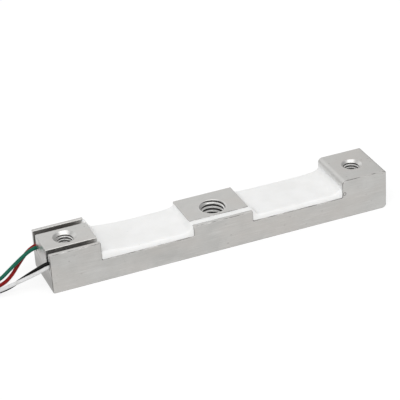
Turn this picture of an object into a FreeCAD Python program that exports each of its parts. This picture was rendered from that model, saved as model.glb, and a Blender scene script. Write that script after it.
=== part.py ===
import FreeCAD, Part
import math
import os
import re
import Sketcher

# Luggage scale load cell: an aluminium bending beam with a full bridge of foil strain gauges,
# sealed under silicone, and four short leads.
# Millimetres. X runs along the beam away from the leads, Y from the front to the back and Z up.
# The origin is in the middle of the beam's underside.

SIZES = {
    # Beam
    "beam_length": 80.0,
    "beam_width": 12.7,
    "end_height": 9.5,
    "centre_height": 7.7,
    "floor_height": 5.3,
    "left_land": 11.6,
    "centre_land": 14.1,
    "right_land": 11.0,
    "slot_width": 1.7,
    "slot_wall": 0.95,
    "hole_inset": 5.5,
    "end_bore": 3.3,
    "left_sink": 5.2,
    "right_sink": 4.7,
    "centre_bore": 5.0,
    "centre_sink": 6.1,
    "bore_break": 0.3,
    "lead_foot_radius": 0.5,
    "far_foot_radius": 0.9,
    "far_top_radius": 0.6,
    "far_step_radius": 1.0,
    "root_radius": 0.3,
    "land_break": 0.15,
    "side_break": 0.15,
    "slot_break": 0.1,
    # Foil strain gauges
    "carrier_length": 6.4,
    "carrier_width": 4.4,
    "carrier_thickness": 0.08,
    "foil_thickness": 0.04,
    "grid_lines": 8,
    "grid_pitch": 0.4,
    "grid_line_width": 0.22,
    "grid_length": 3.8,
    "grid_loop": 0.25,
    "tab_size": 1.2,
    "tab_neck": 0.4,
    "tab_overhang": 0.1,
    "carrier_border": 0.4,
    "gauge_margin": 0.8,
    # Solder terminal strips
    "strip_length": 2.4,
    "strip_thickness": 0.25,
    "pad_pitch": 2.7,
    "pad_length": 1.7,
    "pad_width": 1.9,
    "copper_thickness": 0.05,
    "strip_border": 0.1,
    "lead_pads": 4,
    "bridge_pads": 3,
    # Wires and solder
    "tail_width": 0.3,
    "tail_thickness": 0.06,
    "tail_rise": 0.06,
    "jumper_diameter": 0.25,
    "jumper_bend": 1.5,
    "jumper_rise": 0.25,
    "jumper_lane": 0.42,
    "jumper_height": 0.7,
    "jumper_entry": 0.45,
    "tab_solder_base": 0.9,
    "tab_solder_top": 0.5,
    "tab_solder_height": 0.25,
    "pad_solder_base": 1.5,
    "pad_solder_top": 0.9,
    "pad_solder_height": 0.62,
    # Silicone
    "coat_depth": 1.15,
    "coat_inset": 0.2,
    "coat_shoulder": 0.7,
    "coat_climb": 0.25,
    "coat_climb_run": 1.0,
    "coat_lead_climb": 0.65,
    "coat_lead_run": 9.0,
    "coat_slot_crown": 0.1,
    # Leads
    "lead_diameter": 0.83,
    "core_diameter": 0.45,
    "core_gap": 0.1,
    "core_tip_length": 4.0,
}

# Each lead's route, from the inner end of its slot, out of the beam and down on to the surface that the
# beam stands on. Two leads share a slot: red beside green in the far one, and black above and beside white
# in the near one.
LEAD_ROUTES = {
    "white": [
        (-27.4, -4.97, 5.74), (-31.8, -4.975, 5.75), (-36.0, -4.97, 5.86), (-38.2, -4.975, 5.99),
        (-40.1, -4.96, 6.1), (-42.3, -4.85, 5.3), (-46.0, -4.05, 3.85), (-51.5, -2.7, 1.85),
        (-59.0, -2.2, 0.43), (-72.0, -2.7, 0.43), (-91.0, -1.9, 0.43), (-109.0, -2.9, 0.43),
    ],
    "black": [
        (-27.4, -4.28, 6.28), (-31.8, -4.285, 6.29), (-36.0, -4.28, 6.4), (-38.2, -4.285, 6.53),
        (-40.1, -4.28, 6.62), (-42.1, -3.95, 5.7), (-45.2, -2.75, 3.6), (-48.5, -1.3, 1.0),
        (-52.4, -0.85, 0.43), (-59.5, -0.8, 0.43), (-73.0, -1.3, 0.43), (-93.0, -0.5, 0.43),
        (-111.5, -0.9, 0.43),
    ],
    "green": [
        (-27.4, 4.125, 5.74), (-31.6, 4.13, 5.75), (-36.0, 4.125, 5.86), (-38.3, 4.13, 6.0),
        (-40.2, 4.13, 6.12), (-42.4, 4.0, 5.3), (-46.1, 3.4, 3.05), (-50.0, 2.5, 0.72),
        (-57.5, 2.05, 0.43), (-71.0, 1.6, 0.43), (-90.0, 2.3, 0.43), (-107.5, 2.5, 0.43),
    ],
    "red": [
        (-27.4, 4.975, 5.8), (-31.6, 4.97, 5.81), (-35.8, 4.975, 5.92), (-38.1, 4.97, 6.06),
        (-40.0, 4.97, 6.18), (-42.0, 5.06, 4.95), (-44.4, 4.65, 2.4), (-46.4, 3.3, 1.05),
        (-48.8, 1.55, 0.62), (-52.6, 0.7, 0.44), (-59.5, 0.4, 0.43), (-72.0, 0.1, 0.43),
        (-91.0, 0.8, 0.43), (-110.5, 1.1, 0.43),
    ],
}

doc = FreeCAD.newDocument("load_cell")
sheet = doc.addObject("Spreadsheet::Sheet", "Sizes")
for row, (name, number) in enumerate(SIZES.items(), start=1):
    sheet.set(f"A{row}", name)
    sheet.set(f"B{row}", str(number))
    sheet.setAlias(f"B{row}", name)
doc.recompute()

nodes = []


def bound(text):
    """The expression text with each size's name pointing at its cell."""
    def cell(match):
        word = match[0]
        return f"Sizes.{word}" if word in SIZES else word
    return re.sub(r"[a-z_]+", cell, text)


def value(text):
    """The number that an expression in the sizes gives."""
    return float(sheet.evalExpression(bound(text)))


def bind(item, **expressions):
    """Ties properties of an object to expressions in the sizes."""
    for name, text in expressions.items():
        item.setExpression(name.replace("__", "."), bound(text))


def node(item, label):
    """Marks an object as a piece of the load cell, under its own name."""
    item.Label = label
    nodes.append(item)
    return item


# Sketches and features of a body


def origin(body, role):
    return next(item for item in body.Origin.OriginFeatures if item.Role == role)


def sketch_on(body, name, role, height="0"):
    """A sketch on one of the body's own planes, or parallel to it at a height."""
    sketch = body.newObject("Sketcher::SketchObject", name)
    sketch.AttachmentSupport = [(origin(body, role), "")]
    sketch.MapMode = "FlatFace"
    bind(sketch, AttachmentOffset__Base__z=height)
    return sketch


def hold(sketch, kind, axis, geometry, position, text):
    """Dimensions one point from the sketch's origin, or puts it on an axis where that is 0."""
    if text == "0":
        sketch.addConstraint(Sketcher.Constraint("PointOnObject", geometry, position, axis))
        return
    number = sketch.addConstraint(
        Sketcher.Constraint(kind, -1, 1, geometry, position, value(text)))
    sketch.setExpression(f"Constraints[{number}]", bound(text))


def polygon(sketch, corners):
    """A closed outline whose corners are given as expressions in the sizes."""
    points = [FreeCAD.Vector(value(x), value(y), 0) for x, y in corners]
    first = sketch.GeometryCount
    count = len(points)
    for index in range(count):
        sketch.addGeometry(Part.LineSegment(points[index], points[(index + 1) % count]))
    for index, (x, y) in enumerate(corners):
        after = first + (index + 1) % count
        sketch.addConstraint(Sketcher.Constraint("Coincident", first + index, 2, after, 1))
        hold(sketch, "DistanceX", -2, first + index, 1, x)
        hold(sketch, "DistanceY", -1, first + index, 1, y)


def rectangle(sketch, left, right, low, high):
    polygon(sketch, [(left, low), (right, low), (right, high), (left, high)])


def pad(body, sketch, length, symmetric=False):
    feature = body.newObject("PartDesign::Pad", f"{sketch.Name}_pad")
    feature.Profile = sketch
    feature.SideType = "Symmetric" if symmetric else "One side"
    bind(feature, Length=length)
    doc.recompute()
    return feature


def cut(body, sketch, length):
    """Removes a sketch's outlines over a length ahead of its plane."""
    before = body.Shape.Volume
    feature = body.newObject("PartDesign::Pocket", f"{sketch.Name}_cut")
    feature.Profile = sketch
    feature.Type = "Length"
    feature.Reversed = True
    bind(feature, Length=length)
    doc.recompute()
    assert body.Shape.Volume < before, f"{sketch.Name} cuts nothing"
    return feature


def row_of(body, feature, count, pitch):
    """Repeats a feature along the body's Y axis."""
    pattern = body.newObject("PartDesign::LinearPattern", f"{feature.Name}_row")
    pattern.Originals = [feature]
    pattern.Direction = (origin(body, "Y_Axis"), [""])
    pattern.Mode = "Spacing"
    bind(pattern, Offset=pitch, Occurrences=count)
    body.Tip = pattern
    doc.recompute()
    return pattern


def mirrored(body, feature):
    """Repeats a feature on the other side of the body's XZ plane."""
    mirror = body.newObject("PartDesign::Mirrored", f"{feature.Name}_mirror")
    mirror.Originals = [feature]
    mirror.MirrorPlane = (origin(body, "XZ_Plane"), [""])
    body.Tip = mirror
    doc.recompute()
    return mirror


def edges_where(body, test):
    """Names of the body's edges for which the test holds at both ends."""
    names = []
    for number, edge in enumerate(body.Shape.Edges, start=1):
        if all(test(vertex.Point) for vertex in edge.Vertexes):
            names.append(f"Edge{number}")
    assert names, "no such edge"
    return names


def blend(body, kind, name, size, edges):
    """Rounds or chamfers the named edges of what the body holds so far."""
    base = body.Tip
    feature = body.newObject(f"PartDesign::{kind}", name)
    feature.Base = (base, edges)
    bind(feature, **{"Radius" if kind == "Fillet" else "Size": size})
    doc.recompute()
    return feature


def near(a, b):
    return abs(a - b) < 1e-4


# Beam: milled from one bar

LEFT_FACE = "-beam_length / 2"
RIGHT_FACE = "beam_length / 2"
LEFT_STEP = "-beam_length / 2 + left_land"
RIGHT_STEP = "beam_length / 2 - right_land"
CENTRE_LEFT = "-centre_land / 2"
CENTRE_RIGHT = "centre_land / 2"
SLOT_OUTER = "beam_width / 2 - slot_wall"
SLOT_INNER = "beam_width / 2 - slot_wall - slot_width"

beam = node(doc.addObject("PartDesign::Body", "beam"), "beam")
profile = sketch_on(beam, "beam_profile", "XZ_Plane")
polygon(profile, [
    (LEFT_FACE, "0"), (RIGHT_FACE, "0"), (RIGHT_FACE, "end_height"), (RIGHT_STEP, "end_height"),
    (RIGHT_STEP, "floor_height"), (CENTRE_RIGHT, "floor_height"), (CENTRE_RIGHT, "centre_height"),
    (CENTRE_LEFT, "centre_height"), (CENTRE_LEFT, "floor_height"), (LEFT_STEP, "floor_height"),
    (LEFT_STEP, "end_height"), (LEFT_FACE, "end_height"),
])
pad(beam, profile, "beam_width", symmetric=True)


def cross_edges(*places):
    """The beam's edges across its width at the given places of its profile."""
    names = []
    for x, z in ((value(x), value(z)) for x, z in places):
        names += edges_where(beam, lambda p: near(p.x, x) and near(p.z, z))
    return names


blend(beam, "Fillet", "lead_foot", "lead_foot_radius", cross_edges((LEFT_FACE, "0")))
blend(beam, "Fillet", "far_foot", "far_foot_radius", cross_edges((RIGHT_FACE, "0")))
blend(beam, "Fillet", "far_top", "far_top_radius", cross_edges((RIGHT_FACE, "end_height")))
blend(beam, "Fillet", "far_step", "far_step_radius", cross_edges((RIGHT_STEP, "end_height")))
blend(beam, "Fillet", "pocket_roots", "root_radius", cross_edges(
    *((x, "floor_height") for x in (LEFT_STEP, CENTRE_LEFT, CENTRE_RIGHT, RIGHT_STEP))))
blend(beam, "Fillet", "land_edges", "land_break", cross_edges(
    (LEFT_FACE, "end_height"), (LEFT_STEP, "end_height"),
    (CENTRE_LEFT, "centre_height"), (CENTRE_RIGHT, "centre_height")))
half_width = value("beam_width / 2")
blend(beam, "Chamfer", "side_edges", "side_break",
      edges_where(beam, lambda p: near(abs(p.y), half_width)))


def wire_slots(name, start, land, top, signs):
    """Slots along a land for the wires, with broken rims, cut from a start in front of the land."""
    section = sketch_on(beam, name, "YZ_Plane", start)
    for sign in signs:
        wide_outer = f"{sign} * ({SLOT_OUTER} + slot_break)"
        wide_inner = f"{sign} * ({SLOT_INNER} - slot_break)"
        outer = f"{sign} * ({SLOT_OUTER})"
        inner = f"{sign} * ({SLOT_INNER})"
        polygon(section, [
            (inner, "floor_height"), (outer, "floor_height"), (outer, f"{top} - slot_break"),
            (wide_outer, top), (wide_outer, f"{top} + slot_break"),
            (wide_inner, f"{top} + slot_break"), (wide_inner, top), (inner, f"{top} - slot_break"),
        ])
    cut(beam, section, f"{land} + 2 * slot_width")


wire_slots("left_slots", f"{LEFT_FACE} - slot_width", "left_land", "end_height", (1, -1))
wire_slots("centre_slot", f"{CENTRE_LEFT} - slot_width", "centre_land", "centre_height", (-1,))


def tapped_hole(name, x, top, bore, sink):
    """A through hole at its thread's core diameter, countersunk from above."""
    sketch = sketch_on(beam, f"{name}_centre", "XY_Plane", top)
    circle = sketch.addGeometry(Part.Circle(
        FreeCAD.Vector(value(x), 0, 0), FreeCAD.Vector(0, 0, 1), value(bore) / 2))
    hold(sketch, "DistanceX", -2, circle, 3, x)
    hold(sketch, "DistanceY", -1, circle, 3, "0")
    radius = sketch.addConstraint(Sketcher.Constraint("Radius", circle, value(bore) / 2))
    sketch.setExpression(f"Constraints[{radius}]", bound(f"{bore} / 2"))
    doc.recompute()
    before = beam.Shape.Volume
    hole = beam.newObject("PartDesign::Hole", name)
    hole.Profile = sketch
    hole.DepthType = "ThroughAll"
    hole.HoleCutType = "Countersink"
    hole.HoleCutCountersinkAngle = 90
    bind(hole, Diameter=bore, HoleCutDiameter=sink)
    doc.recompute()
    assert beam.Shape.Volume < before, f"{name} cuts nothing"


tapped_hole("left_hole", f"{LEFT_FACE} + hole_inset", "end_height", "end_bore", "left_sink")
tapped_hole("centre_hole", "0", "centre_height", "centre_bore", "centre_sink")
tapped_hole("right_hole", f"{RIGHT_FACE} - hole_inset", "end_height", "end_bore", "right_sink")
slot_edge = value(SLOT_INNER)
blend(beam, "Chamfer", "bore_rims", "bore_break",
      edges_where(beam, lambda p: near(p.z, 0) and abs(p.y) < slot_edge))


# Strain gauges: etched foil on a film carrier, bonded to the pocket floors

CARRIER_TOP = "carrier_thickness"
FOIL_TOP = "floor_height + carrier_thickness + foil_thickness"
GRID_NEAR = "carrier_length / 2 - carrier_border - tab_size - tab_neck"
GRID_FAR = f"{GRID_NEAR} - grid_length"
TAB_X = "carrier_length / 2 - carrier_border - tab_size / 2"
FIRST_LINE = "-(grid_lines - 1) / 2 * grid_pitch"
TAB_Y = "((grid_lines - 1) * grid_pitch + grid_line_width) / 2 + tab_overhang - tab_size / 2"
INNER_GAUGE = "centre_land / 2 + gauge_margin + carrier_length / 2"
LEFT_OUTER_GAUGE = f"{LEFT_STEP} + gauge_margin + carrier_length / 2"
RIGHT_OUTER_GAUGE = f"{RIGHT_STEP} - gauge_margin - carrier_length / 2"


def strain_gauge(label, x, turned):
    """One gauge, with its tabs at its +X end, or at its -X end where it is turned round."""
    body = node(doc.addObject("PartDesign::Body", label), label)
    carrier = sketch_on(body, f"{label}_carrier", "XY_Plane")
    rectangle(carrier, "-carrier_length / 2", "carrier_length / 2",
              "-carrier_width / 2", "carrier_width / 2")
    pad(body, carrier, "carrier_thickness")

    line = sketch_on(body, f"{label}_line", "XY_Plane", CARRIER_TOP)
    rectangle(line, GRID_FAR, GRID_NEAR,
              f"{FIRST_LINE} - grid_line_width / 2", f"{FIRST_LINE} + grid_line_width / 2")
    row_of(body, pad(body, line, "foil_thickness"), "grid_lines", "grid_pitch")

    for end, first, count, low, high in (
            ("far", FIRST_LINE, "grid_lines / 2", GRID_FAR, f"{GRID_FAR} + grid_loop"),
            ("near", f"{FIRST_LINE} + grid_pitch", "grid_lines / 2 - 1",
             f"{GRID_NEAR} - grid_loop", GRID_NEAR)):
        loop = sketch_on(body, f"{label}_{end}_loop", "XY_Plane", CARRIER_TOP)
        rectangle(loop, low, high, f"{first} - grid_line_width / 2",
                  f"{first} + grid_pitch + grid_line_width / 2")
        row_of(body, pad(body, loop, "foil_thickness"), count, "2 * grid_pitch")

    tab = sketch_on(body, f"{label}_tab", "XY_Plane", CARRIER_TOP)
    line_low = f"{FIRST_LINE} - grid_line_width / 2"
    line_high = f"{FIRST_LINE} + grid_line_width / 2"
    tab_left = f"{TAB_X} - tab_size / 2"
    tab_right = f"{TAB_X} + tab_size / 2"
    tab_low = f"-({TAB_Y}) - tab_size / 2"
    tab_high = f"-({TAB_Y}) + tab_size / 2"
    polygon(tab, [
        (GRID_NEAR, line_low), (tab_left, line_low), (tab_left, tab_low), (tab_right, tab_low),
        (tab_right, tab_high), (tab_left, tab_high), (tab_left, line_high), (GRID_NEAR, line_high),
    ])
    mirrored(body, pad(body, tab, "foil_thickness"))

    body.Placement.Rotation = FreeCAD.Rotation(FreeCAD.Vector(0, 0, 1), 180 if turned else 0)
    bind(body, Placement__Base__x=x, Placement__Base__z="floor_height")
    return body


gauges = [
    strain_gauge("strain_gauge_left_outer", LEFT_OUTER_GAUGE, turned=False),
    strain_gauge("strain_gauge_left_inner", f"-({INNER_GAUGE})", turned=True),
    strain_gauge("strain_gauge_right_inner", INNER_GAUGE, turned=False),
    strain_gauge("strain_gauge_right_outer", RIGHT_OUTER_GAUGE, turned=True),
]


# Terminal strips: copper pads on a thin board, midway between the gauges of a pocket

PAD_TOP = "floor_height + strip_thickness + copper_thickness"
LEAD_STRIP = f"({LEFT_OUTER_GAUGE} - ({INNER_GAUGE})) / 2"
BRIDGE_STRIP = f"({RIGHT_OUTER_GAUGE} + {INNER_GAUGE}) / 2"


def terminal_strip(label, x, pads):
    body = node(doc.addObject("PartDesign::Body", label), label)
    board = sketch_on(body, f"{label}_board", "XY_Plane")
    half_board = f"({pads} * pad_pitch / 2 + strip_border)"
    rectangle(board, "-strip_length / 2", "strip_length / 2", f"-{half_board}", half_board)
    pad(body, board, "strip_thickness")
    copper = sketch_on(body, f"{label}_copper", "XY_Plane", "strip_thickness")
    first = f"-({pads} - 1) / 2 * pad_pitch"
    rectangle(copper, "-pad_length / 2", "pad_length / 2",
              f"{first} - pad_width / 2", f"{first} + pad_width / 2")
    row_of(body, pad(body, copper, "copper_thickness"), pads, "pad_pitch")
    bind(body, Placement__Base__x=x, Placement__Base__z="floor_height")
    return body


strips = [
    terminal_strip("lead_terminal_strip", LEAD_STRIP, "lead_pads"),
    terminal_strip("bridge_terminal_strip", BRIDGE_STRIP, "bridge_pads"),
]


# Wires: tubes along straight runs that tangent arcs join


def tube(points, diameter, bend=None):
    """A round wire along a route, with a bend of its own or each arc as large as its two runs allow."""
    points = [FreeCAD.Vector(*point) for point in points]
    edges = []
    radii = []
    start = points[0]
    for before, corner, after in zip(points, points[1:], points[2:]):
        back = (before - corner).normalize()
        ahead = (after - corner).normalize()
        half_turn = (math.pi - back.getAngle(ahead)) / 2
        reach = 0.45 * min(before.distanceToPoint(corner), after.distanceToPoint(corner))
        if bend:
            reach = min(reach, bend * math.tan(half_turn))
        radius = reach / math.tan(half_turn)
        middle = (back + ahead).normalize()
        enter = corner + back * reach
        leave = corner + ahead * reach
        crown = corner + middle * (radius / math.cos(half_turn) - radius)
        edges.append(Part.LineSegment(start, enter).toShape())
        edges.append(Part.Arc(enter, crown, leave).toShape())
        radii.append(radius)
        start = leave
    edges.append(Part.LineSegment(start, points[-1]).toShape())
    path = Part.Wire(edges)
    section = Part.Wire(Part.makeCircle(diameter / 2, points[0], points[1] - points[0]))
    shape = path.makePipeShell([section], True, False)
    expected = math.pi * diameter ** 2 / 4 * path.Length
    assert abs(shape.Volume / expected - 1) < 0.005, "the tube's volume is off"
    return shape, path.Length, radii


def wire(label, points, diameter, bend=None):
    item = doc.addObject("Part::Feature", label)
    item.Shape, length, radii = tube(points, diameter, bend)
    return item, length, radii


def rod(label, start, direction, diameter, length):
    """A straight round wire from a point along a direction."""
    item = doc.addObject("Part::Cylinder", label)
    bind(item, Radius=f"{diameter} / 2")
    item.Height = length
    item.Placement = FreeCAD.Placement(start, FreeCAD.Rotation(FreeCAD.Vector(0, 0, 1), direction))
    return item


def ribbon(label, start, end):
    """A flat gauge tail between two points."""
    item = doc.addObject("Part::Box", label)
    item.Length = (end - start).Length
    bind(item, Width="tail_width", Height="tail_thickness")
    turn = FreeCAD.Rotation(end - start, FreeCAD.Vector(0, 0, 0), FreeCAD.Vector(0, 0, 1), "XZY")
    corner = FreeCAD.Vector(0, -value("tail_width") / 2, -value("tail_thickness") / 2)
    item.Placement = FreeCAD.Placement(start + turn.multVec(corner), turn)
    return item


def group(label, items):
    """Several separate solids under one name."""
    item = doc.addObject("Part::Compound", label)
    item.Links = items
    return item


def solder_dot(label, x, y, level, kind):
    """A pillow of solder with sloping sides on a tab or a pad."""
    item = doc.addObject("Part::Wedge", label)
    base = f"{kind}_solder_base / 2"
    top = f"{kind}_solder_top / 2"
    bind(item, Ymin="0", Ymax=f"{kind}_solder_height",
         Xmin=f"-{base}", Xmax=base, Zmin=f"-{base}", Zmax=base,
         X2min=f"-{top}", X2max=top, Z2min=f"-{top}", Z2max=top)
    upright = FreeCAD.Rotation(FreeCAD.Vector(1, 0, 0), 90)
    item.Placement = FreeCAD.Placement(FreeCAD.Vector(x, y, value(level)), upright)
    return item


def pad_y(pads, index):
    return (index - (value(pads) - 1) / 2) * value("pad_pitch")


tab_x = value(TAB_X)
tab_y = value(TAB_Y)
lead_strip_x = value(LEAD_STRIP)
bridge_strip_x = value(BRIDGE_STRIP)
tail_tab_z = value(f"{FOIL_TOP} + tail_rise")
tail_pad_z = value(f"{PAD_TOP} + tail_rise")
tail_reach = value("pad_solder_base / 4")
WHITE_PAD, BLACK_PAD, GREEN_PAD, RED_PAD = (pad_y("lead_pads", index) for index in range(4))
SIGNAL_PAD, RETURN_PAD, SUPPLY_PAD = (pad_y("bridge_pads", index) for index in range(3))

# Every gauge's front and back tab, with the pad that each one's tail goes to.
BRIDGE = {
    "left": (lead_strip_x, [
        (value(LEFT_OUTER_GAUGE) + tab_x, BLACK_PAD, GREEN_PAD),
        (-value(INNER_GAUGE) - tab_x, GREEN_PAD, RED_PAD),
    ]),
    "right": (bridge_strip_x, [
        (value(INNER_GAUGE) + tab_x, SIGNAL_PAD, SUPPLY_PAD),
        (value(RIGHT_OUTER_GAUGE) - tab_x, SIGNAL_PAD, RETURN_PAD),
    ]),
}

tails = {}
tab_dots = {}
for side, (strip_x, pairs) in BRIDGE.items():
    tails[side] = []
    tab_dots[side] = []
    for gauge_number, (x, front_pad, back_pad) in enumerate(pairs):
        for y, to_pad in ((-tab_y, front_pad), (tab_y, back_pad)):
            name = f"{side}_{gauge_number}_{'front' if y < 0 else 'back'}"
            inward = math.copysign(tail_reach, x - strip_x)
            begin = FreeCAD.Vector(x, y, tail_tab_z)
            target_y = to_pad - math.copysign(tail_reach, to_pad - y)
            target = FreeCAD.Vector(strip_x + inward, target_y, tail_pad_z)
            tails[side].append(ribbon(f"tail_{name}", begin, target))
            tab_dots[side].append(solder_dot(f"tab_dot_{name}", x, y, FOIL_TOP, "tab"))
    node(group(f"gauge_tails_{side}", tails[side]), f"gauge_tails_{side}")

# Jumpers: from the lead strip, through the centre land's slot side by side, to the bridge strip.
slot_y = -value(f"({SLOT_OUTER} + {SLOT_INNER}) / 2")
lane = value("jumper_lane")
lane_z = value("floor_height + jumper_height")
jumper_pad_z = value(f"{PAD_TOP} + jumper_rise")
pad_reach = value("pad_length / 4")
entry_x = value("centre_land / 2 + jumper_entry")
jumpers = []
for label, lane_y, lead_pad, bridge_pad in (
        ("jumper_wire_signal", slot_y - lane, WHITE_PAD, SIGNAL_PAD),
        ("jumper_wire_return", slot_y, BLACK_PAD, RETURN_PAD),
        ("jumper_wire_supply", slot_y + lane, RED_PAD, SUPPLY_PAD)):
    route = [(lead_strip_x + pad_reach, lead_pad, jumper_pad_z), (-entry_x, lane_y, lane_z),
             (entry_x, lane_y, lane_z), (bridge_strip_x - pad_reach, bridge_pad, jumper_pad_z)]
    jumper, _, _ = wire(label, route, value("jumper_diameter"), value("jumper_bend"))
    jumpers.append(node(jumper, label))

# Leads, with their stripped inner ends, which go on to the pads, and their tinned tips.
core_pads = {"white": WHITE_PAD, "black": BLACK_PAD, "green": GREEN_PAD, "red": RED_PAD}
core_pad_z = value(f"{PAD_TOP} + pad_solder_height / 2")
leads = []
inner_ends = []
for colour, route in LEAD_ROUTES.items():
    lead, length, radii = wire(f"lead_{colour}", route, value("lead_diameter"))
    leads.append(node(lead, f"lead_{colour}"))
    print(f"lead_{colour}: {length:.1f} mm, radii", " ".join(f"{radius:.1f}" for radius in radii))
    points = [FreeCAD.Vector(*point) for point in route]
    target = FreeCAD.Vector(lead_strip_x, core_pads[colour], core_pad_z)
    ahead = (target - points[0]).normalize()
    start = points[0] + ahead * value("core_gap")
    reach = start.distanceToPoint(target)
    inner_ends.append(rod(f"inner_end_{colour}", start, ahead, "core_diameter", reach))
    onward = points[-1] - points[-2]
    tip = rod(f"lead_tip_{colour}", points[-1], onward, "core_diameter", value("core_tip_length"))
    node(tip, f"lead_tip_{colour}")
if inner_ends:
    node(group("lead_inner_ends", inner_ends), "lead_inner_ends")

# Solder, with the wires that run into it.
doc.recompute()
solder = []
for side, strip_x, pads in (("left", lead_strip_x, "lead_pads"), ("right", bridge_strip_x, "bridge_pads")):
    pad_dots = [solder_dot(f"pad_dot_{side}_{index}", strip_x, pad_y(pads, index), PAD_TOP, "pad")
                for index in range(int(value(pads)))]
    joints = doc.addObject("Part::Cut", f"solder_joints_{side}")
    joints.Base = group(f"dots_{side}", tab_dots[side] + pad_dots)
    joints.Tool = group(f"dot_wires_{side}", tails[side] + jumpers + inner_ends)
    solder.append(node(joints, f"solder_joints_{side}"))
doc.recompute()


# Silicone: one mass over both pockets and in the centre slot, around everything under it

COAT_TOP = "floor_height + coat_depth"
COAT_LOW = "floor_height - root_radius"
COATS = ((LEFT_STEP, CENTRE_LEFT, "coat_lead_run", "coat_lead_climb"),
         (CENTRE_RIGHT, RIGHT_STEP, "coat_climb_run", "coat_climb"))
coat = doc.addObject("PartDesign::Body", "coat")
slab = sketch_on(coat, "coat_slab", "XZ_Plane")
for left, right, _, _ in COATS:
    rectangle(slab, f"{left} - root_radius", f"{right} + root_radius", COAT_LOW, COAT_TOP)
pad(coat, slab, "beam_width - 2 * coat_inset", symmetric=True)
coat_side = value("beam_width / 2 - coat_inset")
coat_top = value(COAT_TOP)
blend(coat, "Fillet", "coat_shoulders", "coat_shoulder", [
    name for y in (-coat_side, coat_side)
    for name in edges_where(coat, lambda p: near(p.y, y) and near(p.z, coat_top))])
climbs = sketch_on(coat, "coat_climbs", "XZ_Plane")
for left, right, run, climb in COATS:
    for face, way, reach, rise in ((left, 1, run, climb), (right, -1, "coat_climb_run", "coat_climb")):
        polygon(climbs, [
            (f"{face} - {way} * root_radius", COAT_LOW), (f"{face} + {way} * {reach}", COAT_LOW),
            (f"{face} + {way} * {reach}", COAT_TOP), (face, f"{COAT_TOP} + {rise}"),
            (f"{face} - {way} * root_radius", f"{COAT_TOP} + {rise}"),
        ])
pad(coat, climbs, "beam_width - 2 * (coat_inset + coat_shoulder)", symmetric=True)
slot_fill = sketch_on(coat, "slot_fill", "XY_Plane", "floor_height")
rectangle(slot_fill, CENTRE_LEFT, CENTRE_RIGHT, f"-({SLOT_OUTER})", f"-({SLOT_INNER})")
pad(coat, slot_fill, "centre_height - floor_height + coat_slot_crown")

covered = doc.addObject("Part::MultiFuse", "covered")
covered.Shapes = [beam, *gauges, *strips, *tails["left"], *tails["right"],
                  *jumpers, *leads, *inner_ends, *solder]
covered.Refine = False
sealant = doc.addObject("Part::Cut", "silicone_sealant")
sealant.Base = coat
sealant.Tool = covered
node(sealant, "silicone_sealant")
doc.recompute()


# Checks, then one file for each piece

for item in doc.Objects:
    assert not {"Invalid", "Error"} & set(item.State), f"{item.Label} failed"
for item in nodes:
    assert not item.Shape.isNull() and item.Shape.isValid(), f"{item.Label} has no valid shape"
os.makedirs("parts", exist_ok=True)
for item in nodes:
    item.Shape.exportStep(f"parts/{item.Label}.step")
    print(f"{item.Label}: {len(item.Shape.Solids)} solid, {item.Shape.Volume:.2f} mm3")
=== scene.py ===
import bpy
import bmesh
import math
from mathutils import Matrix, Quaternion, Vector, noise
from mathutils.bvhtree import BVHTree


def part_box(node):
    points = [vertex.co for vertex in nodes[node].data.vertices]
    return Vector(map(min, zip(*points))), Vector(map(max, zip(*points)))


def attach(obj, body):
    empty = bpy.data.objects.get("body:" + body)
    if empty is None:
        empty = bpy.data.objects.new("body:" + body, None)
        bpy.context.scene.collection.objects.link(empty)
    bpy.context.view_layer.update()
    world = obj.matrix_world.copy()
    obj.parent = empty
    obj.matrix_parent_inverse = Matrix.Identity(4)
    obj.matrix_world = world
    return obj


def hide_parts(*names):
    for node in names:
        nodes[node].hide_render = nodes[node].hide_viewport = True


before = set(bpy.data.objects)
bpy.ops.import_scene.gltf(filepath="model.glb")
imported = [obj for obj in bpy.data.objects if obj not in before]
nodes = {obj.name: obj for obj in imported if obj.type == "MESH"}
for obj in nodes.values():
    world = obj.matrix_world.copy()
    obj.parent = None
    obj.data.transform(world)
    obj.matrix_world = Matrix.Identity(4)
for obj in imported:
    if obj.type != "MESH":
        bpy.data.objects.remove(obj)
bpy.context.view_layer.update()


# Beam: one bar of aluminium alloy, sawn to length and milled from above into two end lands, a lower
# centre land and two thin pockets, with slots for the wires through the lands.
# Its three holes are drilled and tapped right through and countersunk; threads and countersinks are cut here.

MM = 0.001  # sizes are in millimetres, and this turns them into metres
SMALL_THREAD = (3.3, 4.0, 0.7)  # across the core, across the roots, pitch
LARGE_THREAD = (5.0, 6.0, 1.0)
HOLE_SPACING = 34.5
END_TOP, CENTRE_TOP = 9.5, 7.7
TAPPED_HOLES = (
    # thread, place along the beam, across the countersink, its height
    (SMALL_THREAD, -HOLE_SPACING, 5.2, END_TOP),
    (LARGE_THREAD, 0.0, 6.1, CENTRE_TOP),
    (SMALL_THREAD, HOLE_SPACING, 4.7, END_TOP),
)
FLANK_SLOPE = 60  # degrees
ROOT_FLAT = 1 / 8  # of the pitch
THREAD_STEPS = 48  # to a turn
THREAD_START = 1.7  # degrees
CORE_WEAR = 0.01
BORE_BREAK = 0.3
SINK_STEPS = 72
SINK_PAST = 0.2
WELD = 0.0001
SLIVER = 0.004
FLAT_WITHIN = 0.3  # degrees
CORNER_LIMITS = (30, 150)  # degrees
BEAM_SHARP = 28  # degrees
SLOT_NEAR, SLOT_FAR = 3.7, 5.4
FAR_FACE = 29.0
SAWN_FROM = (39.2, 39.5)
LEAD_END_FROM = (-39.2, -39.0)
SINK_WITHIN = (3.3, 3.25)
GLINT_RING = (3.02, 3.15, 0.12)
SEAM_WIDTH, SEAM_SOFT = 0.13, 0.03
RIM_SHADE_INNER, RIM_SHADE_OUTER = (6.19, 6.21), (6.33, 6.345)
FOOT_DARKENING = (0.15, 0.32)
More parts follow.
